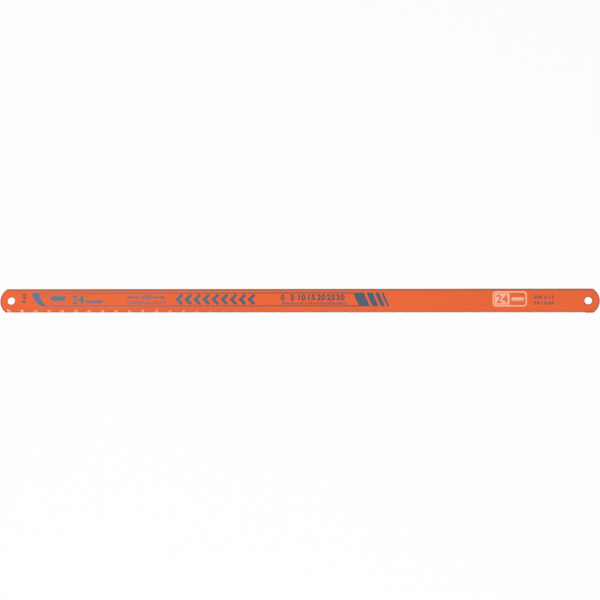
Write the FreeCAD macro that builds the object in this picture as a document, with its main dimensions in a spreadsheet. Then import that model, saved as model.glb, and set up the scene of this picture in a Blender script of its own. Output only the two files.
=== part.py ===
import FreeCAD, Part
import math
import os
import Sketcher
from FreeCAD import Vector

# Hand hacksaw blade, 300 mm between its pin holes, 24 teeth to the inch, in millimetres.
# The blade is one steel strip. It lies flat, with Z through its thickness, X along it and the
# teeth towards -Y. The origin is midway between the pin holes, on the middle plane.
# The teeth point towards -X. Their edge is pressed into a wave, so that the saw cut is wider
# than the strip and the back of the blade runs free in it.

SIZES = [
    ("pin_spacing", "300", "between the centres of the two pin holes"),
    ("pin_hole_diameter", "4", "clears the pins of a hacksaw frame"),
    ("end_margin", "5.85", "from the centre of a pin hole to the end of the blade"),
    ("end_bulge", "3.42", "how far each round end stands out past its corners"),
    ("blade_width", "12.7", "from the tips of the teeth to the back edge"),
    ("blade_thickness", "0.65", "of the strip"),
    ("back_radius", "0.12", "rounding of the two edges along the back"),
    ("tooth_pitch", "1.0583", "from tip to tip, 24 to the inch"),
    ("tooth_depth", "0.5", "from the tips to the bottom of the gullets"),
    ("tooth_land", "0.04", "flat left on each tip"),
    ("gullet_floor", "0.2", "width of the bottom of each gullet"),
    ("front_land", "0.05", "from the front corner to the first tooth"),
    ("rear_land", "4.2", "from the last tooth to the rear corner"),
    ("set_depth", "2", "from the tips to the line where the wave starts"),
    ("set_offset", "0.18", "how far a wave pushes the tips to each side"),
    ("wave_length", "7.05", "of one whole wave, to one side and back"),
    ("overrun", "1", "how far a cut runs past the edge of the blade"),
]

# Lengths worked out from the sheet, as expressions for the sketches and features
CORNER = "(Sizes.pin_spacing / 2 + Sizes.end_margin - Sizes.end_bulge)"
TOOTHED_LENGTH = f"(2 * {CORNER} - Sizes.front_land - Sizes.rear_land)"
TOOTH_COUNT = f"floor({TOOTHED_LENGTH} / Sizes.tooth_pitch)"
WAVE_COUNT = f"floor({TOOTHED_LENGTH} / Sizes.wave_length)"
END_RADIUS = "((Sizes.blade_width / 2)^2 + Sizes.end_bulge^2) / 2 / Sizes.end_bulge"
WAVE_RADIUS = "((Sizes.wave_length / 4)^2 + Sizes.set_offset^2) / 2 / Sizes.set_offset"

ORIGIN, X_AXIS, Y_AXIS = -1, -1, -2
START, END, CENTRE = range(1, 4)


def make_sizes(doc):
    """Writes the driving dimensions to a sheet, one named cell each."""
    sheet = doc.addObject("Spreadsheet::Sheet", "Sizes")
    for row, (alias, value, meaning) in enumerate(SIZES, start=1):
        sheet.set(f"A{row}", alias)
        sheet.set(f"B{row}", value)
        sheet.set(f"C{row}", meaning)
        sheet.setAlias(f"B{row}", alias)
    doc.recompute()
    return sheet


def corner_of(sheet):
    """Distance along X from the origin to the corners where the round ends start."""
    return sheet.pin_spacing / 2 + sheet.end_margin - sheet.end_bulge


def first_tooth(sheet):
    """Place along X of the first tooth, where the wave starts too."""
    return sheet.front_land - corner_of(sheet)


def origin_feature(body, role):
    """Finds one of the body's own planes or axes, such as XY_Plane."""
    return next(f for f in body.Origin.OriginFeatures if f.Role == role)


def new_sketch(body, name, role):
    """Adds an empty sketch to the body, flat on one of its origin planes."""
    sketch = body.newObject("Sketcher::SketchObject", name)
    sketch.AttachmentSupport = (origin_feature(body, role), [""])
    sketch.MapMode = "FlatFace"
    sketch.Visibility = False
    return sketch


def bind(sketch, constraint, expression):
    """Adds a driving constraint and ties its value to the sheet."""
    index = sketch.addConstraint(constraint)
    sketch.setExpression(f"Constraints[{index}]", expression)


def line(x1, y1, x2, y2):
    """A straight line for a sketch."""
    return Part.LineSegment(Vector(x1, y1, 0), Vector(x2, y2, 0))


def arc(x, y, radius, start, end):
    """An arc for a sketch, drawn anticlockwise between two angles in radians."""
    return Part.ArcOfCircle(Part.Circle(Vector(x, y, 0), Vector(0, 0, 1), radius), start, end)


def join(sketch, pairs):
    """Makes each pair of end points meet."""
    for first, first_end, second, second_end in pairs:
        sketch.addConstraint(
            Sketcher.Constraint("Coincident", first, first_end, second, second_end)
        )


def draw_outline(body, sheet):
    """The strip seen from above: two straight edges between two round ends."""
    half_width = sheet.blade_width / 2
    corner = corner_of(sheet)
    radius = (half_width**2 + sheet.end_bulge**2) / 2 / sheet.end_bulge
    centre = corner + sheet.end_bulge - radius
    angle = math.atan2(half_width, corner - centre)
    sketch = new_sketch(body, "blank_outline", "XY_Plane")
    back, rear, tips, front = sketch.addGeometry(
        [
            line(-corner, half_width, corner, half_width),
            arc(centre, 0, radius, -angle, angle),
            line(corner, -half_width, -corner, -half_width),
            arc(-centre, 0, radius, math.pi - angle, math.pi + angle),
        ]
    )
    join(
        sketch,
        [
            (back, END, rear, END),
            (rear, START, tips, START),
            (tips, END, front, END),
            (front, START, back, START),
        ],
    )
    sketch.addConstraint(
        [
            Sketcher.Constraint("Horizontal", back),
            Sketcher.Constraint("Horizontal", tips),
            Sketcher.Constraint("Equal", rear, front),
            Sketcher.Constraint("PointOnObject", rear, CENTRE, X_AXIS),
            Sketcher.Constraint("Symmetric", rear, CENTRE, front, CENTRE, Y_AXIS),
        ]
    )
    bind(
        sketch,
        Sketcher.Constraint("DistanceY", tips, START, rear, END, 2 * half_width),
        "Sizes.blade_width",
    )
    bind(
        sketch,
        Sketcher.Constraint("DistanceX", ORIGIN, START, rear, END, corner),
        CORNER,
    )
    bind(sketch, Sketcher.Constraint("Radius", rear, radius), END_RADIUS)
    return sketch


def draw_pin_holes(body, sheet):
    """Two equal circles on the middle line."""
    radius = sheet.pin_hole_diameter / 2
    reach = sheet.pin_spacing / 2
    sketch = new_sketch(body, "pin_hole_circles", "XY_Plane")
    front, rear = sketch.addGeometry(
        [
            Part.Circle(Vector(-reach, 0, 0), Vector(0, 0, 1), radius),
            Part.Circle(Vector(reach, 0, 0), Vector(0, 0, 1), radius),
        ]
    )
    sketch.addConstraint(
        [
            Sketcher.Constraint("Equal", front, rear),
            Sketcher.Constraint("PointOnObject", rear, CENTRE, X_AXIS),
            Sketcher.Constraint("Symmetric", front, CENTRE, rear, CENTRE, Y_AXIS),
        ]
    )
    bind(
        sketch,
        Sketcher.Constraint("Diameter", rear, 2 * radius),
        "Sizes.pin_hole_diameter",
    )
    bind(
        sketch,
        Sketcher.Constraint("DistanceX", ORIGIN, START, rear, CENTRE, reach),
        "Sizes.pin_spacing / 2",
    )
    return sketch


def draw_wave_gap(body, sheet):
    """The stretch of the toothed edge that the waves take the place of."""
    start = first_tooth(sheet)
    toothed = 2 * corner_of(sheet) - sheet.front_land - sheet.rear_land
    end = start + math.floor(toothed / sheet.wave_length) * sheet.wave_length
    low = -sheet.blade_width / 2 - sheet.overrun
    high = sheet.set_depth - sheet.blade_width / 2
    sketch = new_sketch(body, "wave_gap_outline", "XY_Plane")
    top, rear, base, front = sketch.addGeometry(
        [
            line(start, high, end, high),
            line(end, high, end, low),
            line(end, low, start, low),
            line(start, low, start, high),
        ]
    )
    join(
        sketch,
        [
            (top, END, rear, START),
            (rear, END, base, START),
            (base, END, front, START),
            (front, END, top, START),
        ],
    )
    sketch.addConstraint(
        [
            Sketcher.Constraint("Horizontal", top),
            Sketcher.Constraint("Horizontal", base),
            Sketcher.Constraint("Vertical", front),
            Sketcher.Constraint("Vertical", rear),
        ]
    )
    bind(
        sketch,
        Sketcher.Constraint("DistanceX", top, START, ORIGIN, START, -start),
        f"{CORNER} - Sizes.front_land",
    )
    bind(
        sketch,
        Sketcher.Constraint("DistanceX", top, START, top, END, end - start),
        f"{WAVE_COUNT} * Sizes.wave_length",
    )
    bind(
        sketch,
        Sketcher.Constraint("DistanceY", top, START, ORIGIN, START, -high),
        "Sizes.blade_width / 2 - Sizes.set_depth",
    )
    bind(
        sketch,
        Sketcher.Constraint("DistanceY", front, START, front, END, high - low),
        "Sizes.set_depth + Sizes.overrun",
    )
    return sketch


def size_ribbon(sketch, sheet, front, rear):
    """Sets where a ribbon starts, its length and its thickness."""
    start = first_tooth(sheet)
    bind(
        sketch,
        Sketcher.Constraint("DistanceX", front, END, ORIGIN, START, -start),
        f"{CORNER} - Sizes.front_land",
    )
    bind(
        sketch,
        Sketcher.Constraint("DistanceX", front, END, rear, START, sheet.wave_length),
        "Sizes.wave_length",
    )
    bind(
        sketch,
        Sketcher.Constraint("DistanceY", front, START, front, END, sheet.blade_thickness),
        "Sizes.blade_thickness",
    )


def draw_wave_root(body, sheet):
    """One wave seen from the teeth, at the line where it starts: a ribbon, still straight."""
    start = first_tooth(sheet)
    middle = start + sheet.wave_length / 2
    end = start + sheet.wave_length
    half = sheet.blade_thickness / 2
    sketch = new_sketch(body, "wave_root", "XZ_Plane")
    sketch.setExpression("AttachmentOffset.Base.z", "Sizes.blade_width / 2 - Sizes.set_depth")
    upper_first, upper_last, rear, lower_last, lower_first, front = sketch.addGeometry(
        [
            line(start, half, middle, half),
            line(middle, half, end, half),
            line(end, half, end, -half),
            line(end, -half, middle, -half),
            line(middle, -half, start, -half),
            line(start, -half, start, half),
        ]
    )
    join(
        sketch,
        [
            (upper_first, END, upper_last, START),
            (upper_last, END, rear, START),
            (rear, END, lower_last, START),
            (lower_last, END, lower_first, START),
            (lower_first, END, front, START),
            (front, END, upper_first, START),
        ],
    )
    sketch.addConstraint(
        [
            Sketcher.Constraint("Horizontal", upper_first),
            Sketcher.Constraint("Horizontal", upper_last),
            Sketcher.Constraint("Horizontal", lower_first),
            Sketcher.Constraint("Horizontal", lower_last),
            Sketcher.Constraint("Vertical", rear),
            Sketcher.Constraint("Equal", upper_first, upper_last),
            Sketcher.Constraint("Equal", lower_first, lower_last),
            Sketcher.Constraint("Symmetric", front, START, front, END, X_AXIS),
        ]
    )
    size_ribbon(sketch, sheet, front, rear)
    return sketch


def draw_wave_tip(body, sheet):
    """The same wave at the tips of the teeth: an arc to one side, then an arc to the other."""
    start = first_tooth(sheet)
    chord = sheet.wave_length / 2
    middle = start + chord
    end = start + sheet.wave_length
    half = sheet.blade_thickness / 2
    radius = ((chord / 2) ** 2 + sheet.set_offset**2) / 2 / sheet.set_offset
    drop = radius - sheet.set_offset
    sweep = math.asin(chord / 2 / radius)
    up = (math.pi / 2 - sweep, math.pi / 2 + sweep)
    down = (-math.pi / 2 - sweep, -math.pi / 2 + sweep)
    sketch = new_sketch(body, "wave_tip", "XZ_Plane")
    sketch.setExpression("AttachmentOffset.Base.z", "Sizes.blade_width / 2")
    upper_first, upper_last, rear, lower_last, lower_first, front = sketch.addGeometry(
        [
            arc((start + middle) / 2, half - drop, radius, *up),
            arc((middle + end) / 2, half + drop, radius, *down),
            line(end, half, end, -half),
            arc((middle + end) / 2, drop - half, radius, *down),
            arc((start + middle) / 2, -half - drop, radius, *up),
            line(start, -half, start, half),
        ]
    )
    join(
        sketch,
        [
            (upper_first, START, upper_last, START),
            (upper_last, END, rear, START),
            (rear, END, lower_last, END),
            (lower_last, START, lower_first, START),
            (lower_first, END, front, START),
            (front, END, upper_first, END),
        ],
    )
    sketch.addConstraint(
        [
            Sketcher.Constraint("Horizontal", front, END, upper_first, START),
            Sketcher.Constraint("Horizontal", front, END, rear, START),
            Sketcher.Constraint("Horizontal", front, START, lower_first, START),
            Sketcher.Constraint("Horizontal", front, START, rear, END),
            Sketcher.Constraint("Vertical", upper_first, START, lower_first, START),
            Sketcher.Constraint("Vertical", rear),
            Sketcher.Constraint("Symmetric", front, START, front, END, X_AXIS),
            Sketcher.Constraint("Equal", upper_first, upper_last),
            Sketcher.Constraint("Equal", upper_first, lower_first),
            Sketcher.Constraint("Equal", upper_first, lower_last),
        ]
    )
    size_ribbon(sketch, sheet, front, rear)
    bind(sketch, Sketcher.Constraint("Radius", upper_first, radius), WAVE_RADIUS)
    return sketch


def draw_gullet(body, sheet):
    """The gap behind the first tooth: its sloping back, a narrow floor and the next square front."""
    start = first_tooth(sheet) + sheet.tooth_land
    end = first_tooth(sheet) + sheet.tooth_pitch
    tips = -sheet.blade_width / 2
    bottom = tips + sheet.tooth_depth
    low = tips - sheet.overrun
    sketch = new_sketch(body, "gullet_outline", "XY_Plane")
    slant, floor, front, base, side = sketch.addGeometry(
        [
            line(start, tips, end - sheet.gullet_floor, bottom),
            line(end - sheet.gullet_floor, bottom, end, bottom),
            line(end, bottom, end, low),
            line(end, low, start, low),
            line(start, low, start, tips),
        ]
    )
    join(
        sketch,
        [
            (slant, END, floor, START),
            (floor, END, front, START),
            (front, END, base, START),
            (base, END, side, START),
            (side, END, slant, START),
        ],
    )
    sketch.addConstraint(
        [
            Sketcher.Constraint("Horizontal", floor),
            Sketcher.Constraint("Vertical", front),
            Sketcher.Constraint("Horizontal", base),
            Sketcher.Constraint("Vertical", side),
        ]
    )
    bind(
        sketch,
        Sketcher.Constraint("DistanceX", floor, START, floor, END, sheet.gullet_floor),
        "Sizes.gullet_floor",
    )
    bind(
        sketch,
        Sketcher.Constraint("DistanceX", slant, START, front, START, end - start),
        "Sizes.tooth_pitch - Sizes.tooth_land",
    )
    bind(
        sketch,
        Sketcher.Constraint("DistanceY", slant, START, slant, END, sheet.tooth_depth),
        "Sizes.tooth_depth",
    )
    bind(
        sketch,
        Sketcher.Constraint("DistanceY", side, START, side, END, sheet.overrun),
        "Sizes.overrun",
    )
    bind(
        sketch,
        Sketcher.Constraint("DistanceX", slant, START, ORIGIN, START, -start),
        f"{CORNER} - Sizes.front_land - Sizes.tooth_land",
    )
    bind(
        sketch,
        Sketcher.Constraint("DistanceY", slant, START, ORIGIN, START, -tips),
        "Sizes.blade_width / 2",
    )
    return sketch


def cut_through(body, sketch, name):
    """Cuts the sketch through the body, both ways from its plane."""
    pocket = body.newObject("PartDesign::Pocket", name)
    pocket.Profile = sketch
    pocket.Type = "ThroughAll"
    pocket.Midplane = True
    return pocket


def repeat_along(body, feature, name, step, count):
    """Repeats a feature along X, at a step and for a count given as expressions."""
    body.Document.recompute()
    pattern = body.newObject("PartDesign::LinearPattern", name)
    pattern.Originals = [feature]
    pattern.Direction = (origin_feature(body, "X_Axis"), [""])
    pattern.setExpression("Length", f"{step} * ({count} - 1)")
    pattern.setExpression("Occurrences", count)
    body.Tip = pattern
    return pattern


def round_back(body, sheet, blank):
    """Rounds the two long edges of the back."""
    body.Document.recompute()
    names = [
        f"Edge{i}"
        for i, edge in enumerate(blank.Shape.Edges, start=1)
        if edge.Length > sheet.pin_spacing / 2 and edge.CenterOfMass.y > 0
    ]
    rounding = body.newObject("PartDesign::Fillet", "rolled_back")
    rounding.Base = (blank, names)
    rounding.setExpression("Radius", "Sizes.back_radius")
    return rounding


def make_blade(doc, sheet):
    """The strip, its back, its holes, the waves and last the teeth."""
    body = doc.addObject("PartDesign::Body", "blade")
    blank = body.newObject("PartDesign::Pad", "blank")
    blank.Profile = draw_outline(body, sheet)
    blank.Midplane = True
    blank.setExpression("Length", "Sizes.blade_thickness")
    round_back(body, sheet, blank)
    cut_through(body, draw_pin_holes(body, sheet), "pin_holes")
    cut_through(body, draw_wave_gap(body, sheet), "wave_gap")
    root = draw_wave_root(body, sheet)
    tip = draw_wave_tip(body, sheet)
    wave = body.newObject("PartDesign::AdditiveLoft", "wave")
    wave.Profile = root
    wave.Sections = [tip]
    wave.Ruled = True
    repeat_along(body, wave, "waves", "Sizes.wave_length", WAVE_COUNT)
    gullet = cut_through(body, draw_gullet(body, sheet), "gullet")
    repeat_along(body, gullet, "teeth", "Sizes.tooth_pitch", TOOTH_COUNT)
    body.Label = "blade"
    return body


def check(doc, parts):
    """Stops the script if an object failed or a sub-part isn't one good solid."""
    for item in doc.Objects:
        if "Invalid" in item.State or "Error" in item.State:
            raise RuntimeError(f"{item.Label} failed: {item.State}")
    for part in parts:
        shape = part.Shape
        if shape.isNull() or not shape.isValid() or len(shape.Solids) != 1:
            raise RuntimeError(f"{part.Label} isn't one valid solid")


def main():
    """Builds the blade and writes it out."""
    doc = FreeCAD.newDocument("hacksaw_blade")
    sheet = make_sizes(doc)
    parts = [make_blade(doc, sheet)]
    doc.recompute()
    check(doc, parts)
    os.makedirs("parts", exist_ok=True)
    for part in parts:
        part.Shape.exportStep(f"parts/{part.Label}.step")
        print(part.Label, "volume", round(part.Shape.Volume, 2), "faces", len(part.Shape.Faces))


main()
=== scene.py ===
import logging
import math
from dataclasses import dataclass, field
from enum import Enum
from typing import Any, Dict, List, Sequence, Tuple, Union

import bmesh
import bpy
import numpy as np
from bpy.types import Material, Mesh, Node, NodeSocket, Object, World
from mathutils import Matrix, Vector


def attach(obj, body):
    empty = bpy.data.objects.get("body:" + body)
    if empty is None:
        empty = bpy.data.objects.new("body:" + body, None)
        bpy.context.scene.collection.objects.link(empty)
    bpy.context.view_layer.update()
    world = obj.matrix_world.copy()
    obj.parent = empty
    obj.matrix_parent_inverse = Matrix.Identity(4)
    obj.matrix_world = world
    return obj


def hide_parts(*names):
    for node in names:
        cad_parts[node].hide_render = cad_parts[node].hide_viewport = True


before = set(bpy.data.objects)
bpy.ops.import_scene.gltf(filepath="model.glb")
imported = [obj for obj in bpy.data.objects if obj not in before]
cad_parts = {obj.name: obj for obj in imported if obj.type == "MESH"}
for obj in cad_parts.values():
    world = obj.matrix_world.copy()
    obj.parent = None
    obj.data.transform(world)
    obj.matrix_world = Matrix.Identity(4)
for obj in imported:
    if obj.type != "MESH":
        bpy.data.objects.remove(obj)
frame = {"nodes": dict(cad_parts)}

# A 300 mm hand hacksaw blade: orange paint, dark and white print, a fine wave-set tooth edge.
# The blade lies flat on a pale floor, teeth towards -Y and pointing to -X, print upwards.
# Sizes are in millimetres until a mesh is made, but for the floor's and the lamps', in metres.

MM = 0.001
BODY = "root"
WELD = 1e-4  # points nearer than this become one
SHARP = math.radians(30)  # edges that turn by more stay sharp
HAIR = 0.02  # keeps the slabs of a mark apart
LEVEL = 0.99999  # the upright part of a level face's normal
log = logging.getLogger("hacksaw_blade")

Array = np.ndarray
Point = Tuple[float, float]
Triple = Tuple[float, float, float]
Curve = Union[Sequence[Point], Array]
Colour = Tuple[int, int, int]


class Slot(Enum):
    """The record's material slots."""

    PAINT = "orange_paint"
    DARK_INK = "dark_ink"
    WHITE_INK = "white_ink"


class Tone(Enum):
    """What a mark is printed in, by the name of its material."""

    BLUE_GREY = "ink_blue_grey"
    FINE = "ink_fine"
    BROWN = "ink_brown"
    WHITE = "ink_white"
    PAINT = "blade_enamel"

    @property
    def slot(self) -> Slot:
        """The record's slot that the tone belongs to."""
        others = {Tone.WHITE: Slot.WHITE_INK, Tone.PAINT: Slot.PAINT}
        return others.get(self, Slot.DARK_INK)


class Maths:
    """Wraps a node socket, so that shader sums read as Python expressions."""

    def __init__(self, graph: "Graph", socket: NodeSocket) -> None:
        """Keeps the graph and the socket."""
        self.graph = graph
        self.socket = socket

    def _apply(self, operation: str, *values: Any) -> "Maths":
        """Adds one Math node on numbers or wrapped sockets, given in the node's order."""
        node = self.graph.add("ShaderNodeMath", {"operation": operation}, dict(enumerate(values)))
        return Maths(self.graph, node.outputs[0])

    def __add__(self, other: Any) -> "Maths":
        """Sum."""
        return self._apply("ADD", self, other)

    __radd__ = __add__

    def __sub__(self, other: Any) -> "Maths":
        """Difference."""
        return self._apply("SUBTRACT", self, other)

    def __rsub__(self, other: Any) -> "Maths":
        """Difference the other way round."""
        return self._apply("SUBTRACT", other, self)

    def __mul__(self, other: Any) -> "Maths":
        """Product."""
        return self._apply("MULTIPLY", self, other)

    __rmul__ = __mul__

    def __truediv__(self, other: Any) -> "Maths":
        """Quotient."""
        return self._apply("DIVIDE", self, other)

    def __pow__(self, other: Any) -> "Maths":
        """Power."""
        return self._apply("POWER", self, other)

    def __abs__(self) -> "Maths":
        """Size without sign."""
        return self._apply("ABSOLUTE", self)

    def root(self) -> "Maths":
        """Square root."""
        return self._apply("SQRT", self)

    def most(self, other: Any) -> "Maths":
        """The larger of two."""
        return self._apply("MAXIMUM", self, other)

    def ramp(self, low: float, high: float) -> "Maths":
        """A smooth step from 0 at low to 1 at high.

        Args:
            low: the value that gives 0.
            high: the value that gives 1; it may be the smaller one.

        Returns:
            The wrapped step.
        """
        turned = high < low
        node = self.graph.add(
            "ShaderNodeMapRange",
            {"interpolation_type": "SMOOTHSTEP"},
            {"Value": self, "From Min": min(low, high), "From Max": max(low, high)},
        )
        step = Maths(self.graph, node.outputs["Result"])
        return 1 - step if turned else step


class Graph:
    """The node tree of a material or a world, with one method that adds any node."""

    def __init__(self, owner: Union[Material, World]) -> None:
        """Turns the owner's nodes on.

        Args:
            owner: the material or the world.
        """
        owner.use_nodes = True
        self.owner = owner
        self.tree = owner.node_tree

    def node(self, name: str) -> Node:
        """One of the nodes that a new tree starts with."""
        return self.tree.nodes[name]

    def shown(self) -> Maths:
        """1 for camera, mirror and glass rays, 0 for the rays that carry light.

        Returns:
            The wrapped mask.
        """
        path = self.add("ShaderNodeLightPath", {}, {})
        seen, mirrored, through = (
            Maths(self, path.outputs[name])
            for name in ("Is Camera Ray", "Is Glossy Ray", "Is Transmission Ray")
        )
        return seen.most(mirrored).most(through)

    def add(self, kind: str, settings: Dict[str, Any], inputs: Dict[Any, Any]) -> Node:
        """Adds a node.

        Args:
            kind: the node's type.
            settings: its properties, set before its sockets.
            inputs: values or links, by socket name or number.

        Returns:
            The node.
        """
        node = self.tree.nodes.new(kind)
        for key, value in settings.items():
            setattr(node, key, value)
        self.feed(node, inputs)
        return node

    def feed(self, node: Node, inputs: Dict[Any, Any]) -> None:
        """Sets or links a node's sockets.

        Args:
            node: the node.
            inputs: values or links, by socket name or number.
        """
        for key, value in inputs.items():
            source = value.socket if isinstance(value, Maths) else value
            if isinstance(source, NodeSocket):
                self.tree.links.new(source, node.inputs[key])
            else:
                node.inputs[key].default_value = source

    def place(self) -> Tuple[Maths, Maths, Maths]:
        """The point's own place on the object, in millimetres.

        Returns:
            The wrapped x, y and z.
        """
        coordinates = self.add("ShaderNodeTexCoord", {}, {}).outputs["Object"]
        split = self.add("ShaderNodeSeparateXYZ", {}, {0: coordinates})
        x, y, z = (Maths(self, socket) * (1 / MM) for socket in split.outputs)
        return x, y, z

    def noise(self, grain: "Grain") -> Maths:
        """Noise on Object coordinates.

        Args:
            grain: its cells and octaves.

        Returns:
            The wrapped noise, from 0 to 1 about 0.5.
        """
        coordinates = self.add("ShaderNodeTexCoord", {}, {}).outputs["Object"]
        mapping = self.add("ShaderNodeMapping", {}, {"Vector": coordinates, "Scale": grain.cells})
        octaves = {"Scale": 1.0, "Detail": grain.detail, "Roughness": grain.rough}
        inputs = {"Vector": mapping.outputs[0], **octaves}
        return Maths(self, self.add("ShaderNodeTexNoise", {}, inputs).outputs["Fac"])

    def mix(self, factor: Any, first: Any, second: Any) -> NodeSocket:
        """Mixes two colours or links: a factor of 0 gives the first, 1 the second."""
        node = self.add("ShaderNodeMix", {"data_type": "RGBA"}, {0: factor, 6: first, 7: second})
        return node.outputs[2]

    def bump(self, height: Any, distance: float, strength: float) -> NodeSocket:
        """Turns a height into a normal. A height of 1 stands for the distance, in metres."""
        inputs = {"Height": height, "Distance": distance, "Strength": strength}
        return self.add("ShaderNodeBump", {}, inputs).outputs["Normal"]


@dataclass(frozen=True)
class Grain:
    """A noise: cells to the metre along X, Y and Z, octaves, and the strength of the finer ones."""

    cells: Triple
    detail: float = 3.0
    rough: float = 0.5


def srgb(colour: Colour) -> Tuple[float, float, float, float]:
    """Turns a colour of 0 to 255 into the linear one that a shader takes.

    Args:
        colour: red, green and blue.

    Returns:
        Linear red, green, blue and an alpha of 1.
    """
    levels = np.array(colour) / 255
    linear = np.where(levels <= 0.04045, levels / 12.92, ((levels + 0.055) / 1.055) ** 2.4)
    return (*(float(level) for level in linear), 1.0)


def link(name: str, data: Any) -> Object:
    """Puts a mesh, a lamp or a camera into the scene.

    Args:
        name: the object's name.
        data: what it shows.

    Returns:
        The object.
    """
    item = bpy.data.objects.new(name, data)
    bpy.context.scene.collection.objects.link(item)
    return item


def make_piece(name: str, mesh: Mesh) -> Object:
    """Puts a mesh into the scene as a piece that rides on the blade's body.

    Args:
        name: the piece's name.
        mesh: its mesh, in metres and in place.

    Returns:
        The object.
    """
    piece = link(name, mesh)
    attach(piece, BODY)
    return piece


def read(items: Any, name: str, width: int = 1, kind: type = float) -> Array:
    """Reads one value of all items of a mesh.

    Args:
        items: the mesh's vertices, loops, polygons or loop triangles.
        name: the value's name.
        width: how many numbers each item has.
        kind: float or int.

    Returns:
        The values, in rows of width, or in one row where the width is 1.
    """
    values = np.empty(len(items) * width, dtype=kind)
    items.foreach_get(name, values)
    return values.reshape(-1, width) if width > 1 else values


def close_up(mesh: Mesh, distance: float) -> None:
    """Merges doubled points and turns all faces outwards.

    Args:
        mesh: a mesh of closed shells.
        distance: the distance under which points are one, in the mesh's own unit.
    """
    work = bmesh.new()
    work.from_mesh(mesh)
    bmesh.ops.remove_doubles(work, verts=work.verts, dist=distance)
    bmesh.ops.recalc_face_normals(work, faces=work.faces)
    work.to_mesh(mesh)
    work.free()


@dataclass(frozen=True)
class Figures:
    """A row of plain numbers, in Blender's own font.

    A width of 0 keeps the font's proportions. The outline moves outwards by bold, and the
    figures apart by spread times as much, where the font's size is 1. The turn is in degrees.
    """

    text: str
    centre: Point
    height: float
    width: float = 0.0
    bold: float = 0.0
    turn: float = 0.0
    spread: float = 2.5
    weld: float = 0.003
    mitre_limit: float = 0.5
    bend_points: int = 3

    def slabs(self) -> Tuple[Array, Array]:
        """The figures as closed slabs, at the font's size and place.

        Each point moves along the mitre of its two walls: the sum of the walls' normals, times
        two, over the square of that sum's length.

        Returns:
            The points, and the three point numbers of each face.
        """
        curve = bpy.data.curves.new("figures", "FONT")
        curve.body = self.text
        curve.extrude = 0.5
        curve.resolution_u = self.bend_points
        curve.space_character = 1 + self.spread * self.bold
        holder = bpy.data.objects.new("figures", curve)
        mesh = bpy.data.meshes.new_from_object(holder)
        close_up(mesh, self.weld)
        mesh.calc_loop_triangles()
        points = read(mesh.vertices, "co", 3)
        faces = read(mesh.loop_triangles, "vertices", 3, int)
        corners = read(mesh.loops, "vertex_index", kind=int)
        sides = read(mesh.polygons, "loop_total", kind=int)
        normal = np.repeat(read(mesh.polygons, "normal", 3), sides, axis=0)
        wall = np.abs(normal[:, 2]) < 0.5
        total = np.zeros((len(points), 2))
        np.add.at(total, corners[wall], normal[wall, :2])
        length = np.sum(total**2, axis=1, keepdims=True)
        points[:, :2] += 2 * self.bold * total / np.maximum(length, self.mitre_limit)
        bpy.data.objects.remove(holder)
        bpy.data.curves.remove(curve)
        bpy.data.meshes.remove(mesh)
        return points, faces


Rows = Tuple[Figures, ...]


def grid_faces(rows: int, columns: int) -> Array:
    """Quads of a grid whose points are stored row by row, as four point numbers each."""
    first = np.arange(rows - 1)[:, None] * columns + np.arange(columns - 1)[None, :]
    return np.stack([first, first + 1, first + columns + 1, first + columns], -1).reshape(-1, 4)


class Shell:
    """Collects surfaces and joins them into one mesh of closed shells."""

    def __init__(self) -> None:
        """Starts empty."""
        self.points: List[Array] = []
        self.faces: List[List[int]] = []
        self.count = 0

    def add_faces(self, points: Array, faces: Array) -> None:
        """Adds points and the faces between them.

        Args:
            points: places in millimetres.
            faces: point numbers of each face, counted from the first of these.
        """
        self.points.append(points)
        self.faces.extend((faces + self.count).tolist())
        self.count += len(points)

    def add(self, x: Array, y: Array, z: Union[float, Array]) -> None:
        """Adds one grid of points, given as rows by columns of places in millimetres."""
        points = np.stack(np.broadcast_arrays(x, y, z), -1)
        self.add_faces(points.reshape(-1, 3), grid_faces(*points.shape[:2]))

    def mesh(self, name: str) -> Mesh:
        """Makes one mesh of all that was added, and marks its sharp edges.

        Args:
            name: the mesh's name.

        Returns:
            The mesh, in metres.
        """
        mesh = bpy.data.meshes.new(name)
        mesh.from_pydata(np.vstack(self.points) * MM, [], self.faces)
        close_up(mesh, WELD * MM)
        mesh.shade_smooth()
        mesh.set_sharp_from_angle(angle=SHARP)
        return mesh


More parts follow.
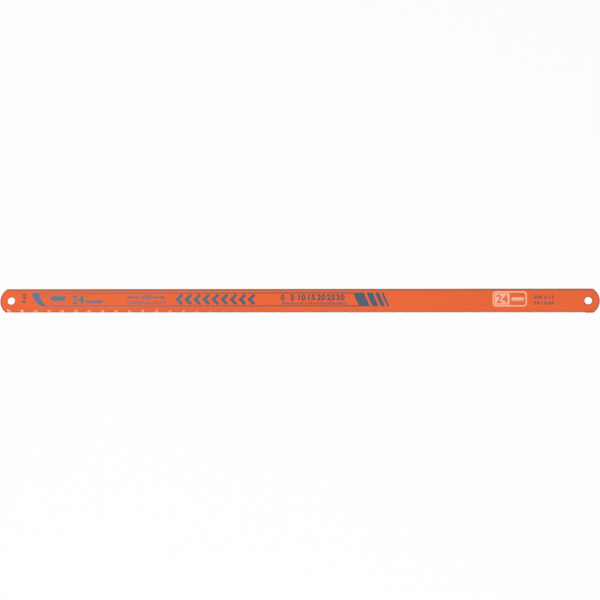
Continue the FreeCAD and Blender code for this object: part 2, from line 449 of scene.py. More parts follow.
@dataclass
class BladeShape:
    """The blade's sizes in millimetres, as the solid has them, and its fine mesh."""

    length: float = 311.7
    width: float = 12.7
    thickness: float = 0.65
    pin_spacing: float = 300.0
    pin_radius: float = 2.0
    pin_rounding: float = 0.06
    end_bulge: float = 3.42
    back_radius: float = 0.12
    pitch: float = 1.0583
    depth: float = 0.5
    land: float = 0.04
    gullet_radius: float = 0.17
    rake_run: float = 0.015
    front_land: float = 0.05
    rear_land: float = 4.2
    set_depth: float = 2.0
    set_offset: float = 0.18
    set_power: float = 1.4
    wave_length: float = 7.05
    plate_reach: float = 145.0
    band_rows: int = 7
    plate_rows: int = 4
    rings: int = 4
    rim_points: int = 3
    gullet_points: int = 6
    plain_points: int = 6
    arc_points: int = 16
    end_points: int = 26
    back_points: int = 14

    def __post_init__(self) -> None:
        """Works out the places that follow from the sizes."""
        self.half = self.width / 2
        self.top = self.thickness / 2
        self.corner = self.length / 2 - self.end_bulge
        self.end_radius = (self.half**2 + self.end_bulge**2) / 2 / self.end_bulge
        self.end_centre = self.length / 2 - self.end_radius
        self.wave_line = self.set_depth - self.half
        self.first_tooth = self.front_land - self.corner
        toothed = 2 * self.corner - self.front_land - self.rear_land
        self.tooth_count = math.floor(toothed / self.pitch)
        self.wave_end = self.first_tooth + math.floor(toothed / self.wave_length) * self.wave_length
        self.shell = Shell()

    def end_x(self, y: Array, inset: Union[float, Array] = 0.0) -> Array:
        """The end's arc: its centre plus the root of the inset radius squared less y squared."""
        return self.end_centre + np.sqrt((self.end_radius - inset) ** 2 - y**2)

    def unit_tooth(self) -> Tuple[Array, Array]:
        """One tooth and its gullet: a tip, a sloping back and an arc tangent to back and front.

        Returns:
            Places along the pitch and heights over the tips.
        """
        reach = self.pitch - self.rake_run - self.gullet_radius
        rise = self.depth - self.gullet_radius
        run = reach - self.land
        slope = math.atan2(rise, run) + math.asin(self.gullet_radius / math.hypot(run, rise))
        angles = np.linspace(math.pi / 2 + slope, 0, self.gullet_points)
        arc_x = reach + self.gullet_radius * np.cos(angles)
        arc_y = rise + self.gullet_radius * np.sin(angles)
        x = np.concatenate([[0, self.land, (self.land + arc_x[0]) / 2], arc_x])
        y = np.concatenate([[0, 0, arc_y[0] / 2], arc_y])
        return x, y

    def tooth_edge(self) -> Tuple[Array, Array, Array]:
        """The lower outline, from the wave line at the front to the wave line at the rear.

        A round end comes down to the front corner. The unit tooth is repeated by adding whole
        pitches. A plain stretch and the other round end follow.

        Returns:
            Places along X, places along Y, and the rounding at each point.
        """
        down = np.linspace(self.wave_line, -self.half, self.arc_points)
        fade = self.back_radius * np.linspace(1, 0, self.arc_points)
        unit_x, unit_y = self.unit_tooth()
        pitches = np.arange(self.tooth_count)[:, None] * self.pitch
        teeth_x = (self.first_tooth + pitches + unit_x).ravel()
        teeth_y = np.tile(unit_y - self.half, self.tooth_count)
        last = self.first_tooth + self.tooth_count * self.pitch
        plain_x = np.linspace(last, self.corner, self.plain_points)[:-1]
        rounding = np.zeros(teeth_x.size + plain_x.size)
        x = np.concatenate([-self.end_x(down), teeth_x, plain_x, self.end_x(down[::-1])])
        y = np.concatenate([down, teeth_y, np.full(plain_x.size, -self.half), down[::-1]])
        return x, y, np.concatenate([fade, rounding, fade[::-1]])

    def wave(self, x: Array, y: Array) -> Array:
        """How far the set pushes a point along Z.

        It is set_offset, times the share of the way from the wave line to the tips to the power
        set_power, times the sine of the place in the wave. The ends stay flat.

        Args:
            x: places along X.
            y: places along Y.

        Returns:
            Offsets along Z.
        """
        share = np.clip((self.wave_line - y) / self.set_depth, 0, 1) ** self.set_power
        inside = (x > self.first_tooth) & (x < self.wave_end)
        phase = 2 * np.pi * (x - self.first_tooth) / self.wave_length
        return self.set_offset * share * np.sin(phase) * inside

    def both_faces(self, x: Array, y: Array) -> None:
        """Adds the same grid on the upper and the lower face.

        Args:
            x: places along X.
            y: places along Y.
        """
        wave = self.wave(x, y)
        self.shell.add(x, y, wave + self.top)
        self.shell.add(x, y, wave - self.top)

    def rim(self, outer: Array, inner: Array, radius: Array) -> None:
        """Carries the rounded edge along the outline.

        The profile is a quarter turn down, the wall, and a quarter turn in.

        Args:
            outer: points of the outline, as two rows.
            inner: where the flat faces end, as two rows.
            radius: rounding at each point.
        """
        turn = np.linspace(0, math.pi / 2, self.rim_points)[:, None]
        reach = np.vstack([np.sin(turn), np.sin(turn[::-1])])
        drop = self.top - radius * (1 - np.cos(turn))
        x = inner[0] + (outer[0] - inner[0]) * reach
        y = inner[1] + (outer[1] - inner[1]) * reach
        self.shell.add(x, y, self.wave(*outer) + np.vstack([drop, -drop[::-1]]))

    def end(self, side: int, line_x: Array, plate_x: float) -> None:
        """Adds the flat patch around a pin hole, and the hole's wall.

        Rings of points run from the patch's border to the hole, each on its own ray.

        Args:
            side: -1 for the front end, 1 for the rear.
            line_x: places along the wave line, from the plate outwards.
            plate_x: place along X where the plate begins.
        """
        inset = self.back_radius
        arc_y = np.linspace(self.wave_line, self.half - inset, self.end_points)
        arc_x = side * self.end_x(arc_y, inset)
        back_x = np.linspace(arc_x[-1], plate_x, self.back_points)[1:]
        plate_y = np.linspace(self.half - inset, self.wave_line, self.plate_rows)[1:]
        x = np.concatenate([line_x, arc_x[1:], back_x, np.full(plate_y.size, plate_x)])
        line_y, back_y = np.full(line_x.size, self.wave_line), np.full(back_x.size, arc_y[-1])
        y = np.concatenate([line_y, arc_y[1:], back_y, plate_y])
        centre = side * self.pin_spacing / 2
        reach = np.hypot(x - centre, y)
        cosine, sine = (x - centre) / reach, y / reach
        wall, mouth = self.pin_radius, self.pin_radius + self.pin_rounding
        share = np.linspace(0, 1, self.rings)[:, None]
        ring = reach + (mouth - reach) * share
        self.both_faces(centre + cosine * ring, sine * ring)
        self.rim(
            np.stack([centre + cosine * wall, sine * wall]),
            np.stack([centre + cosine * mouth, sine * mouth]),
            np.full(x.size, self.pin_rounding),
        )

    def build(self) -> Mesh:
        """Builds the whole blade as one closed shell.

        Returns:
            The mesh.
        """
        edge_x, edge_y, radius = self.tooth_edge()
        arc = radius > 0
        line_x = np.where(arc, np.sign(edge_x) * self.end_x(edge_y, radius), edge_x)
        share = np.linspace(0, 1, self.band_rows)[:, None]
        column_y = edge_y + share * (self.wave_line - edge_y)
        self.both_faces(np.broadcast_to(line_x, column_y.shape), column_y)
        self.rim(np.stack([edge_x, edge_y]), np.stack([line_x, edge_y]), radius)

        first = int(np.searchsorted(line_x, -self.plate_reach))
        last = int(np.searchsorted(line_x, self.plate_reach))
        plate_x = line_x[first : last + 1]
        inner_back = self.half - self.back_radius
        plate_y = np.linspace(self.wave_line, inner_back, self.plate_rows)[:, None]
        self.both_faces(*np.broadcast_arrays(plate_x, plate_y))
        self.end(-1, line_x[first::-1], plate_x[0])
        self.end(1, line_x[last:], plate_x[-1])
        self.back_rim(plate_x)
        mesh = self.shell.mesh("blade_mesh")
        self.flatten(mesh)
        return mesh

    def flatten(self, mesh: Mesh) -> None:
        """Shades the faces beyond the wave line flat, so that the rounded rim keeps to itself.

        Args:
            mesh: the blade's mesh.
        """
        level = np.abs(read(mesh.polygons, "normal", 3)[:, 2]) > LEVEL
        beyond = read(mesh.polygons, "center", 3)[:, 1] > self.wave_line * MM
        mesh.polygons.foreach_set("use_smooth", ~(level & beyond))

    def back_rim(self, plate_x: Array) -> None:
        """Carries the rounded edge up the rear end, along the back and down the front end.

        Args:
            plate_x: places of the plate's columns.
        """
        outlines = []
        for inset in (0.0, self.back_radius):
            arc_y = np.linspace(self.wave_line, self.half - inset, self.end_points)
            arc_x = self.end_x(arc_y, inset)
            rear = np.linspace(arc_x[-1], plate_x[-1], self.back_points)[1:]
            front = np.linspace(plate_x[0], -arc_x[-1], self.back_points)[1:-1]
            back_x = np.concatenate([rear, plate_x[-2::-1], front])
            x = np.concatenate([arc_x, back_x, -arc_x[::-1]])
            y = np.concatenate([arc_y, np.full(back_x.size, arc_y[-1]), arc_y[::-1]])
            outlines.append(np.stack([x, y]))
        outer, inner = outlines
        self.rim(outer, inner, np.full(outer.shape[1], self.back_radius))


@dataclass
class Blade:
    """The painted blade."""

    shape: BladeShape = field(default_factory=BladeShape)

    def build(self) -> Object:
        """Builds the blade and hides the solid that it stands for.

        Returns:
            The object.
        """
        self.piece = make_piece("blade_body", self.shape.build())
        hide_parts("blade")
        return self.piece

    def dress(self, finishes: Dict[Tone, Material]) -> None:
        """Paints the blade."""
        self.piece.data.materials.append(finishes[Tone.PAINT])


@dataclass(frozen=True)
class Ticks:
    """A row of upright lines from start on. Each step begins with one of the second height."""

    start: Point
    pitch: float
    count: int
    heights: Point
    width: float = 0.48
    step: int = 5


@dataclass(frozen=True)
class Strip:
    """A small picture of a blade: teeth that lean to the left, under a bar.

    The ends are along X and the roots along Y. Depth is the teeth's height and bar is the bar's.
    """

    ends: Point
    roots: float
    count: int
    depth: float
    bar: float


@dataclass
class Mark:
    """A printed mark in one tone: thin slabs that stand in the paint and just out of it.

    The marks below are kinds of it, each with its own sizes.
    """

    name: str = "print"
    tone: Tone = Tone.FINE
    foot: float = 0.30
    top: float = 0.337
    rows: Rows = ()

    def __post_init__(self) -> None:
        """Starts with no shape."""
        self.shell = Shell()

    def draw(self) -> None:
        """Adds the rows of figures."""
        for row in self.rows:
            self.figures(row)

    def build(self) -> Object:
        """Draws the mark and makes its object.

        Returns:
            The object.
        """
        self.draw()
        self.piece = make_piece(self.name, self.shell.mesh(self.name + "_mesh"))
        return self.piece

    def dress(self, finishes: Dict[Tone, Material]) -> None:
        """Gives the mark its ink."""
        self.piece.data.materials.append(finishes[self.tone])

    def area(self, one: Curve, other: Curve, closed: bool = False) -> None:
        """Adds the slab between two curves.

        A rectangle's four sides are carried along both curves together, with a cap at each end.

        Args:
            one: points of one side, as rows of x and y.
            other: points of the other side, as many.
            closed: whether the curves are loops, which need no caps.
        """
        one, other = np.asarray(one, float), np.asarray(other, float)
        x, y = (np.stack([one, other, other, one, one])[..., axis] for axis in (0, 1))
        heights = np.array([self.top, self.top, self.foot, self.foot, self.top])
        z = np.broadcast_to(heights[:, None], x.shape)
        self.shell.add(x, y, z)
        if not closed:
            for end in (0, -1):
                self.shell.add(*(values[:4, end][[[0, 1], [3, 2]]] for values in (x, y, z)))

    def stroke(self, path: Curve, width: float, closed: bool = False) -> None:
        """Adds a line of even width, mitred at its corners.

        Each point moves to both sides along the sum of its two sides' normals, over one plus
        their dot product.

        Args:
            path: points of its middle line.
            width: its width.
            closed: whether it is a loop whose last point repeats its first.
        """
        points = np.asarray(path, float)
        step = np.diff(points, axis=0)
        normal = np.stack([-step[:, 1], step[:, 0]], -1) / np.hypot(*step.T)[:, None]
        wrap = (normal[-1:], normal[:1]) if closed else (normal[:1], normal[-1:])
        before, after = np.vstack([wrap[0], normal]), np.vstack([normal, wrap[1]])
        mitre = (before + after) / (1 + np.sum(before * after, axis=1, keepdims=True))
        self.area(points + mitre * width / 2, points - mitre * width / 2, closed)

    def block(self, left: float, right: float, foot: float, top: float) -> None:
        """Adds a rectangle between two places along X and two along Y."""
        self.area([(left, top), (right, top)], [(left, foot), (right, foot)])

    def arrow(self, tip: Point, way: int, head: Point, shaft: Point) -> None:
        """Adds an arrow along X: a triangle, a hair's gap and a bar.

        Args:
            tip: its point.
            way: -1 if it points to the left, 1 if to the right.
            head: length and half width of the triangle.
            shaft: length and half width of the bar.
        """
        x, y = tip
        neck = x - way * head[0]
        self.area([(x, y), (neck, y + head[1])], [(x, y), (neck, y - head[1])])
        start = neck - way * HAIR
        self.block(start, start - way * shaft[0], y - shaft[1], y + shaft[1])

    def scale(self, ticks: Ticks) -> None:
        """Adds a row of upright lines.

        Args:
            ticks: their sizes.
        """
        left, foot = ticks.start
        for index in range(ticks.count):
            x = left + ticks.pitch * index
            height = ticks.heights[index % ticks.step == 0]
            self.block(x - ticks.width / 2, x + ticks.width / 2, foot, foot + height)

    def figures(self, row: Figures) -> None:
        """Adds a row of numbers, scaled about its middle, turned and put in place.

        Args:
            row: the numbers and their sizes.
        """
        points, faces = row.slabs()
        low, high = points.min(axis=0), points.max(axis=0)
        rise = row.height / (high[1] - low[1])
        stretch = row.width / (high[0] - low[0]) if row.width else rise
        flat = (points[:, :2] - (low[:2] + high[:2]) / 2) * (stretch, rise)
        turn = math.radians(row.turn)
        cosine, sine = math.cos(turn), math.sin(turn)
        x = row.centre[0] + flat[:, 0] * cosine - flat[:, 1] * sine
        y = row.centre[1] + flat[:, 0] * sine + flat[:, 1] * cosine
        z = np.where(points[:, 2] > 0, self.top, self.foot)
        self.shell.add_faces(np.stack([x, y, z], -1), faces)

    def toothed_strip(self, strip: Strip) -> None:
        """Adds a toothed strip.

        Its lower side rises from a tip to the roots over each pitch, and drops to the next tip.

        Args:
            strip: its sizes.
        """
        left, right = strip.ends
        tips = left + (right - left) / strip.count * np.arange(strip.count + 1)
        x = np.repeat(tips, 2)[1:-1] + np.tile([0.0, -HAIR], strip.count)
        y = np.tile([strip.roots - strip.depth, strip.roots], strip.count)
        top = np.full(x.size, strip.roots + strip.bar)
        self.area(np.stack([x, top], -1), np.stack([x, y], -1))


@dataclass(frozen=True)
class FrameSize:
    """The long printed frame: the middles of its two lines, and their width."""

    top: float = 4.1
    foot: float = -2.78
    line: float = 0.52


@dataclass
class FrameLines(Mark):
    """The frame's two long lines. They run under the bands, a little lower."""

    name: str = "print_frame_lines"
    top: float = 0.334
    frame: FrameSize = FrameSize()
    upper: Point = (-135.3, 29.9)
    lower: Point = (-131.0, 33.0)

    def draw(self) -> None:
        """Adds both lines."""
        for ends, y in ((self.upper, self.frame.top), (self.lower, self.frame.foot)):
            self.stroke([(x, y) for x in ends], self.frame.line)


@dataclass
class FrameBands(Mark):
    """The curved band at the frame's left, and the slanted bar and stripes at its right."""

    name: str = "print_frame_bands"
    tone: Tone = Tone.BLUE_GREY
    frame: FrameSize = FrameSize()
    band: Tuple[Triple, Triple] = ((-139.2, 5.4, 2.0), (-135.1, 4.4, 2.3))
    stripes: Tuple[Point, ...] = ((29.4, 5.6), (36.3, 3.2), (40.7, 2.1), (43.9, 1.2))
    lean: float = 3.2
    bend: float = 1.15
    side_points: int = 14

    def side(self, start: float, reach: float, power: float) -> Array:
        """A side that runs down the whole frame and swings to the right.

        Its place along X is start, plus reach times the share of the way down to a power.

        Args:
            start: place along X at the top.
            reach: how far right it ends.
            power: 1 for a straight side, more for one that starts upright.

        Returns:
            The points.
        """
        share = np.linspace(0, 1, self.side_points)
        top = self.frame.top + self.frame.line / 2
        foot = self.frame.foot - self.frame.line / 2
        return np.stack([start + reach * share**power, top + (foot - top) * share], -1)

    def draw(self) -> None:
        """Adds the band, the bar and the stripes, each between two sides."""
        self.area(*(self.side(*side) for side in self.band))
        for start, width in self.stripes:
            self.area(*(self.side(x, self.lean, self.bend) for x in (start, start + width)))


@dataclass
class ThicknessFigures(Mark):
    """The upright figures beside the front hole."""

    name: str = "print_thickness"
    tone: Tone = Tone.BROWN
    rows: Rows = (Figures("0.65", (-143.3, 1.4), 2.2, 5.3, 0.045, turn=90),)


@dataclass
class CuttingArrow(Mark):
    """The arrow that shows which way the teeth cut."""

    name: str = "print_cutting_arrow"
    tip: Point = (-130.2, 1.25)
    head: Point = (3.6, 2.0)
    shaft: Point = (5.2, 1.25)

    def draw(self) -> None:
        """Adds the arrow, pointing as the teeth do."""
        self.arrow(self.tip, -1, self.head, self.shaft)


@dataclass
class PitchMark(Mark):
    """The number of teeth to the inch, and a toothed strip."""

    name: str = "print_pitch_mark"
    rows: Rows = (Figures("24", (-114.6, 0.6), 5.0, 6.3, 0.03),)
    strip: Strip = Strip((-110.4, -101.3), roots=-0.5, count=6, depth=1.4, bar=0.7)

    def draw(self) -> None:
        """Adds the figures and the strip."""
        super().draw()
        self.toothed_strip(self.strip)


@dataclass
class SizeMark(Mark):
    """The blade's size between two arrows, over a row of ticks."""

    name: str = "print_size_mark"
    rows: Rows = (Figures("300", (-78.7, 1.9), 2.4, 5.6, 0.035),)
    tips: Tuple[Point, Point] = ((-88.8, 1.9), (-68.7, 1.9))
    head: Point = (1.6, 1.05)
    shaft: Point = (4.95, 0.375)
    ticks: Ticks = Ticks((-88.6, -1.95), pitch=0.99, count=21, heights=(1.3, 2.1))

    def draw(self) -> None:
        """Adds the figures, the arrows and the ticks."""
        super().draw()
        for tip, way in zip(self.tips, (-1, 1)):
            self.arrow(tip, way, self.head, self.shaft)
        self.scale(self.ticks)


@dataclass
class Chevrons(Mark):
    """A row of chevrons that point as the teeth do."""

    name: str = "print_chevrons"
    first_tip: Point = (-62.3, 0.7)
    pitch: float = 4.72
    count: int = 9
    arm: float = 2.6
    line: float = 1.65

    def draw(self) -> None:
        """Adds the chevrons. Both arms run at 45 degrees."""
        x, y = self.first_tip
        shape = np.array([(x + self.arm, y + self.arm), (x, y), (x + self.arm, y - self.arm)])
        for index in range(self.count):
            self.stroke(shape + (self.pitch * index, 0), self.line)


@dataclass
class Ruler(Mark):
    """A scale of ticks with figures over it."""

    name: str = "print_ruler"
    ticks: Ticks = Ticks((-7.2, -2.15), pitch=1.0, count=34, heights=(1.25, 1.87))
    figure_line: float = 1.75
    height: float = 3.3
    bold: float = 0.045

    def draw(self) -> None:
        """Adds a tick to each millimetre, and a figure to each taller one."""
        self.scale(self.ticks)
        for value in range(0, self.ticks.count, self.ticks.step):
            centre = (self.ticks.start[0] + value, self.figure_line)
            self.figures(Figures(str(value), centre, self.height, bold=self.bold))


@dataclass
class GaugeBox(Mark):
    """A white box with round corners, a white field in it and a toothed strip beside that."""

    name: str = "print_gauge_box"
    tone: Tone = Tone.WHITE
    low: Point = (101.6, -2.85)
    high: Point = (118.4, 4.6)
    corner: float = 1.3
    corner_points: int = 7
    line: float = 0.75
    margin: float = 0.7
    field_right: float = 109.9
    strip: Strip = Strip((110.9, 117.3), roots=0.6, count=5, depth=1.3, bar=1.1)

    def outline(self) -> Array:
        """The box's loop: a quarter turn about each corner's centre, the first point repeated.

        Returns:
            The points.
        """
        left, foot = np.add(self.low, self.corner)
        right, top = np.subtract(self.high, self.corner)
        centres = np.array([(right, top), (left, top), (left, foot), (right, foot)])
        turn = np.radians(np.arange(4)[:, None] * 90 + np.linspace(0, 90, self.corner_points))
        loop = centres[:, None] + self.corner * np.stack([np.cos(turn), np.sin(turn)], -1)
        points = loop.reshape(-1, 2)
        return np.vstack([points, points[:1]])

    def draw(self) -> None:
        """Adds the box, the field and the strip."""
        self.stroke(self.outline(), self.line, closed=True)
        left, foot = np.add(self.low, self.margin)
        self.block(left, self.field_right, foot, self.high[1] - self.margin)
        self.toothed_strip(self.strip)


@dataclass
class GaugeFigures(Mark):
    """Figures in the field of the white box, in the colour of the paint."""

    name: str = "print_gauge_figures"
    tone: Tone = Tone.PAINT
    foot: float = 0.331
    top: float = 0.341
    rows: Rows = (Figures("24", (106.1, 0.85), 4.5, 5.9, 0.02),)


@dataclass
class SizeNote(Mark):
    """Two lines of small figures at the rear."""

    name: str = "print_size_note"
    rows: Rows = (
        Figures("300 x 13", (127.4, 1.85), 1.9, 10.2, 0.03),
        Figures("24 / 0.65", (127.4, -1.2), 1.9, 10.2, 0.03),
    )


@dataclass(frozen=True)
class Fade:
    """How the paint darkens towards an edge, partly as thin paint and partly as painted shade."""

    reach: float
    full: float
    strength: float

    def at(self, distance: Maths) -> Maths:
        """The darkening at a distance from the edge, in millimetres."""
        return distance.ramp(self.reach, self.full) * self.strength


@dataclass(frozen=True)
class Enamel:
    """Glossy orange paint over steel: darker at the edges, partly as thin paint and partly as
    painted shade, with a painted highlight on the waves' crests.
    """

    shape: BladeShape
    colour: Colour = (235, 96, 42)
    warm: Colour = (238, 100, 40)
    # pale is the colour of the painted highlight on the crests.
    pale: Colour = (250, 205, 180)
    # rim is the brown of the darkened edges: partly thin paint, partly painted shade of the walls
    # and roundings.
    rim: Colour = (140, 90, 62)
    steel: Colour = (150, 140, 132)
    # Edge darkening, partly thin paint and partly painted shade; the painted shade is deeper along
    # the back and round the rear hole.
    back: Fade = Fade(1.5, 0.15, 0.85)
    front: Fade = Fade(1.3, 0.2, 0.72)
    ends: Fade = Fade(0.9, 0.1, 0.85)
    hole: Fade = Fade(0.8, 0.05, 0.45)
    rear_hole: Fade = Fade(0.8, 0.05, 0.8)
    # A highlight is painted on the waves' crests, strongest towards the front end.
    rubbed: float = 0.68
    rubbed_along: Point = (-20.0, -80.0)
    spot: Point = (0.4, 0.75)
    spot_foot: Point = (0.15, 0.4)
    narrowing: float = 0.6
    bared: float = 0.5
    bared_tips: Point = (0.1, 0.3)
    grain: Grain = Grain((900, 900, 900), 4)
    clouds: Grain = Grain((25, 120, 120))
    streaks: Grain = Grain((500, 3000, 500), rough=0.6)
    edge_noise: float = 0.3
    spot_noise: float = 0.25
    tip_noise: float = 0.9
    warm_clouds: Point = (0.35, 0.65)
    roughness: float = 0.45
    coat: float = 0.4

    def thin(self, x: Maths, y: Maths, uneven: Maths) -> Maths:
        """How far the edges darken, partly as thin paint and partly as painted shade: the most that
        any edge asks for.

        The distance to a round end is the end's radius less the distance to its centre, and to
        a pin hole the distance to the hole's centre less its radius.

        Args:
            x: place along X.
            y: place along Y.
            uneven: a small noise, added to each distance.

        Returns:
            The wrapped share, 0 to 1.
        """
        shape = self.shape
        beyond = (abs(x) - shape.end_centre).most(0)
        end = shape.end_radius - (beyond * beyond + y * y).root() + uneven
        past = abs(x) - shape.pin_spacing / 2
        hole = (past * past + y * y).root() - shape.pin_radius + uneven
        rear = x.ramp(0, 1)
        mouth = self.hole.at(hole) * (1 - rear) + self.rear_hole.at(hole) * rear
        back = self.back.at(shape.half - y + uneven)
        front = self.front.at(shape.half + y + uneven)
        return back.most(front).most(self.ends.at(end)).most(mouth)

    def crest(self, x: Maths, y: Maths, z: Maths, uneven: Maths) -> Maths:
        """Where a highlight is painted pale: high on the waves, towards the front.

        The height over the flat face is set against the highest that the wave reaches there, and
        a part of the way back from the tips is taken off, so that each spot narrows upwards. The
        spots end before the line where the wave starts.

        Args:
            x: place along X.
            y: place along Y.
            z: place along Z.
            uneven: a small noise.

        Returns:
            The wrapped share, 0 to 1.
        """
        shape = self.shape
        share = ((shape.wave_line - y) / shape.set_depth).most(0.05)
        swing = (z - shape.top) / (share**shape.set_power * shape.set_offset) + uneven
        along = x.ramp(*self.rubbed_along)
        spot = (swing - (1 - share) * self.narrowing).ramp(*self.spot)
        return spot * share.ramp(*self.spot_foot) * along

    def material(self, name: str) -> Material:
        """Makes the paint.

        Args:
            name: the material's name.

        Returns:
            The material.
        """
        graph = Graph(bpy.data.materials.new(name))
        x, y, z = graph.place()
        grain, clouds, streaks = (
            graph.noise(kind) for kind in (self.grain, self.clouds, self.streaks)
        )
        # Edge darkening: partly thin paint, partly painted shade.
        thin = self.thin(x, y, (grain - 0.5) * self.edge_noise)
        uneven = (grain - 0.5) * self.spot_noise + (streaks - 0.5) * self.spot_noise
        # Painted highlight on the waves' crests.
        crest = self.crest(x, y, z, uneven)
        tips = self.shape.depth / 2 - self.shape.half - y + (grain - 0.5) * self.tip_noise
        worn = tips.ramp(*self.bared_tips)
        paint = graph.mix(clouds.ramp(*self.warm_clouds), srgb(self.colour), srgb(self.warm))
        pale = graph.mix(crest * self.rubbed, paint, srgb(self.pale))
        # Browns the edges with painted shade and thin paint, less so under the painted highlight.
        thin_and_shaded_edges = graph.mix(thin * (1 - crest * 0.6), pale, srgb(self.rim))
        graph.feed(
            graph.node("Principled BSDF"),
            {
                "Base Color": graph.mix(worn * self.bared, thin_and_shaded_edges, srgb(self.steel)),
                "Metallic": worn * 0.4,
                "Roughness": self.roughness + (clouds - 0.5) * 0.1,
                "Specular IOR Level": 0.15,
                "Coat Weight": self.coat - thin * 0.2,
                "Coat Roughness": 0.08,
                "Normal": graph.bump(grain, 0.000004, 0.6),
            },
        )
        return graph.owner


@dataclass(frozen=True)
class Ink:
    """A thin printed colour, a little worn, which may change along the blade."""

    colour: Colour
    rear_colour: Colour
    under: Colour = (234, 100, 50)
    change: Point = (-120.0, 20.0)
    wear: float = 0.14
    worn: Point = (0.5, 0.72)
    tinge: float = 0.08
    specks: Grain = Grain((1400, 1400, 1400), rough=0.6)
    clouds: Grain = Grain((60, 200, 200))
    roughness: float = 0.45

    def material(self, name: str) -> Material:
        """Makes the ink.

        Args:
            name: the material's name.

        Returns:
            The material.
        """
        graph = Graph(bpy.data.materials.new(name))
        x = graph.place()[0]
        specks, clouds = graph.noise(self.specks), graph.noise(self.clouds)
        worn = (specks * 0.6 + clouds * 0.4).ramp(*self.worn) * self.wear
        ink = graph.mix(x.ramp(*self.change), srgb(self.colour), srgb(self.rear_colour))
        toned = graph.mix(clouds * self.tinge, ink, srgb(self.under))
        graph.feed(
            graph.node("Principled BSDF"),
            {
                "Base Color": graph.mix(worn, toned, srgb(self.under)),
                "Roughness": self.roughness + specks * 0.1,
                "Specular IOR Level": 0.35,
                "Normal": graph.bump(specks, 0.000003, 0.5),
            },
        )
        return graph.owner


@dataclass(frozen=True)
class Floor:
    """The pale ground. White light is mixed in where it is seen, so its shadows are faint."""

    size: float = 6.0
    height: float = -0.000505
    white: float = 0.84
    spokes: int = 64
    rings: int = 8
    dark: Colour = (250, 250, 250)
    light: Colour = (254, 254, 254)
    dust: Grain = Grain((3, 3, 3), 2)

    def build(self) -> Object:
        """Builds a flat disc of rings around the middle.

        Returns:
            The object.
        """
        turn = np.linspace(0, 2 * np.pi, self.spokes + 1)
        reach = np.linspace(0, self.size, self.rings + 1)[:, None] / MM
        shell = Shell()
        shell.add(reach * np.cos(turn), reach * np.sin(turn), 0 * reach + self.height / MM)
        floor = link("floor", shell.mesh("floor_mesh"))
        floor.data.materials.append(self.material())
        return floor

    def material(self) -> Material:
        """Makes the pale ground's material.

        Returns:
            The material.
        """
        graph = Graph(bpy.data.materials.new("floor_white"))
        ground = graph.node("Principled BSDF")
        dust = graph.noise(self.dust)
        graph.feed(
            ground,
            {
                "Base Color": graph.mix(dust, srgb(self.dark), srgb(self.light)),
                "Roughness": 0.9,
                "Specular IOR Level": 0.0,
            },
        )
        glow = graph.add("ShaderNodeEmission", {}, {"Color": (1, 1, 1, 1), "Strength": 1.0})
        mixed = graph.add(
            "ShaderNodeMixShader",
            {},
            {0: graph.shown() * self.white, 1: ground.outputs[0], 2: glow.outputs[0]},
        )
        graph.feed(graph.node("Material Output"), {"Surface": mixed.outputs[0]})
        return graph.owner


@dataclass(frozen=True)
class Lamp:
    """A soft area lamp."""

    name: str
    place: Triple
    aim: Triple
    size: Point
    power: float

    def build(self) -> Object:
        """Hangs the lamp.

        Returns:
            The object.
        """
        light = bpy.data.lights.new(self.name, "AREA")
        light.shape = "RECTANGLE"
        light.size, light.size_y = self.size
        light.energy = self.power
        lamp = link(self.name, light)
        lamp.location = self.place
        way = Vector(self.aim) - Vector(self.place)
        lamp.rotation_euler = way.to_track_quat("-Z", "Y").to_euler()
        return lamp


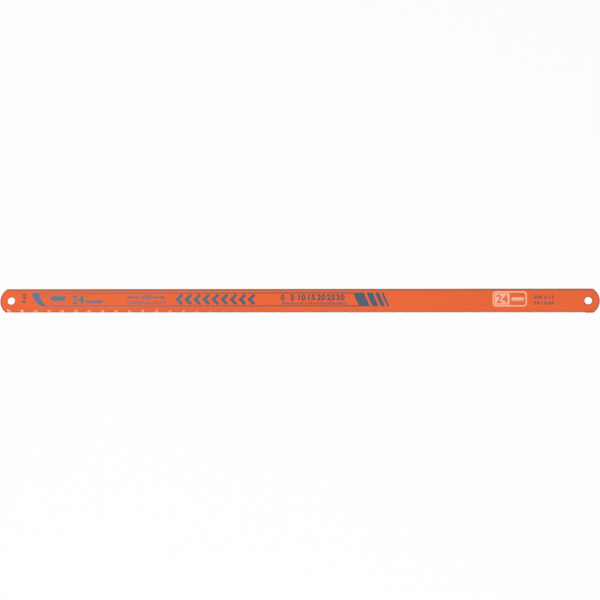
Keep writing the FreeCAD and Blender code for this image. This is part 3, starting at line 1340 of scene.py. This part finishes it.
@dataclass
class Studio:
    """Floor, lamps, world and camera."""

    lamps: Tuple[Lamp, ...] = (
        Lamp("key", (0.0, -0.5, 1.1), (0.0, 0.0, 0.0), (1.4, 0.9), 10.5),
        Lamp("left", (-0.28, 0.16, 0.40), (-0.15, 0.0, 0.0), (0.035, 0.035), 0.16),
    )
    ambient: float = 0.4
    yaw: float = 4.5
    tilt: float = 15.0
    roll: float = -0.04
    aim: Triple = (1.819, 0.36, 0.325)
    distance: float = 1036.66
    lens: float = 120.0
    sensor: float = 36.0

    def world(self) -> None:
        """Lights the scene evenly, and shows white to camera, mirror and glass rays."""
        graph = Graph(bpy.data.worlds.new("studio"))
        level = self.ambient + graph.shown() * (1 - self.ambient)
        graph.feed(graph.node("Background"), {"Color": (1, 1, 1, 1), "Strength": level})
        bpy.context.scene.world = graph.owner

    def camera(self) -> Object:
        """Sets the camera on the line that yaw and tilt give, turned a little about it by roll.

        Returns:
            The camera.
        """
        yaw, tilt = math.radians(self.yaw), math.radians(self.tilt)
        along, aside = math.cos(yaw), math.sin(yaw)
        level, down = math.cos(tilt), math.sin(tilt)
        back = Vector((aside, -along * down, along * level))
        right = Vector((along, aside * down, -aside * level))
        up = back.cross(right)
        data = bpy.data.cameras.new("camera")
        data.lens = self.lens
        data.sensor_width = self.sensor
        camera = link("camera", data)
        turn = Matrix((right, up, back)).transposed().to_4x4()
        turn = turn @ Matrix.Rotation(math.radians(self.roll), 4, "Z")
        place = (Vector(self.aim) + back * self.distance) * MM
        camera.matrix_world = Matrix.Translation(place) @ turn
        bpy.context.scene.camera = camera
        return camera

    def build(self) -> List[Object]:
        """Builds the studio.

        Returns:
            The floor, the lamps and the camera.
        """
        self.world()
        bpy.context.scene.view_settings.view_transform = "Standard"
        return [Floor().build(), *(lamp.build() for lamp in self.lamps), self.camera()]


def save_sizes() -> None:
    """Updates the view layer.
    """
    bpy.context.view_layer.update()


def main() -> None:
    """Builds the blade, its print and the studio."""
    logging.basicConfig(level=logging.INFO, format="%(message)s")
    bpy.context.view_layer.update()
    blade = Blade()
    coats = {
        Tone.PAINT: Enamel(blade.shape),
        Tone.BLUE_GREY: Ink((76, 112, 146), (50, 86, 106)),
        Tone.FINE: Ink((70, 116, 134), (62, 76, 88)),
        Tone.BROWN: Ink((88, 84, 62), (88, 84, 62)),
        Tone.WHITE: Ink((250, 186, 158), (250, 186, 158)),
    }
    finishes = {tone: coat.material(tone.value) for tone, coat in coats.items()}
    lines = (FrameLines, FrameBands, ThicknessFigures, CuttingArrow, PitchMark, SizeMark)
    words = (Chevrons, Ruler, GaugeBox, GaugeFigures, SizeNote)
    for part in (blade, *(mark() for mark in lines + words)):
        piece = part.build()
        part.dress(finishes)
        log.info("%s: %d faces", piece.name, len(piece.data.polygons))
    for item in Studio().build():
        log.info("studio: %s", item.name)
    save_sizes()


if __name__ == "__main__":
    main()
